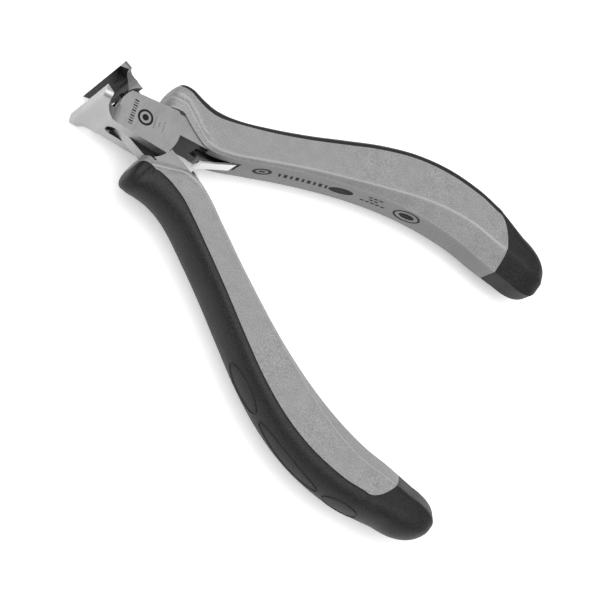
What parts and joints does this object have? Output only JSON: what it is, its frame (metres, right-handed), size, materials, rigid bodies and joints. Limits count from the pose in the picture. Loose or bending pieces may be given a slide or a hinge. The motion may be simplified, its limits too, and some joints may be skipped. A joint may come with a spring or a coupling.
{
  "type": "flush cutter",
  "caption": "End-cutting flush cutter for electronics work, with a box joint, wide flared jaws, leaf springs and curved grips of hard and soft plastic, held open by its springs.",
  "frame": {"origin": "on the pivot axis, at the lower ground face of the box joint", "axes": "+X towards the jaws along the line that halves the opening, +Z along the pivot axis, +Y towards the handle of the inner half"},
  "size_m": [0.1225, 0.0936, 0.02],
  "materials": {
    "ground_steel": "fine ground and satin",
    "spring_steel": "bright rolled",
    "hard_grip": "finely speckled, matt",
    "soft_pad": "fine grained, matt"
  },
  "bodies": {
    "outer": {"outer_half": "ground_steel", "pivot_pin": "ground_steel", "outer_grip": "hard_grip", "outer_pad": "soft_pad", "outer_spring_pin": "spring_steel"},
    "inner": {"inner_half": "ground_steel", "inner_grip": "hard_grip", "inner_pad": "soft_pad", "inner_spring_pin": "spring_steel"},
    "outer_leaf": {"outer_leaf_spring": "spring_steel"},
    "inner_leaf": {"inner_leaf_spring": "spring_steel"}
  },
  "joints": [
    {"name": "pivot", "type": "hinge", "parent": "outer", "child": "inner", "pos_m": [0, 0, 0.0044], "axis": [0, 0, 1], "range_deg": [0, 26], "stiffness_Nm_per_rad": 0.5},
    {"name": "outer_leaf_flex", "type": "hinge", "parent": "outer", "child": "outer_leaf", "pos_m": [-0.02391, -0.00757, 0.0044], "axis": [0, 0, 1], "range_deg": [-20.5, 0]},
    {"name": "inner_leaf_flex", "type": "hinge", "parent": "inner", "child": "inner_leaf", "pos_m": [-0.02391, 0.00757, 0.0044], "axis": [0, 0, 1], "range_deg": [0, 20.5]}
  ],
  "couplings": [
    {"joint": "outer_leaf_flex", "follows": "pivot", "ratio": -0.77},
    {"joint": "inner_leaf_flex", "follows": "pivot", "ratio": 0.77}
  ]
}
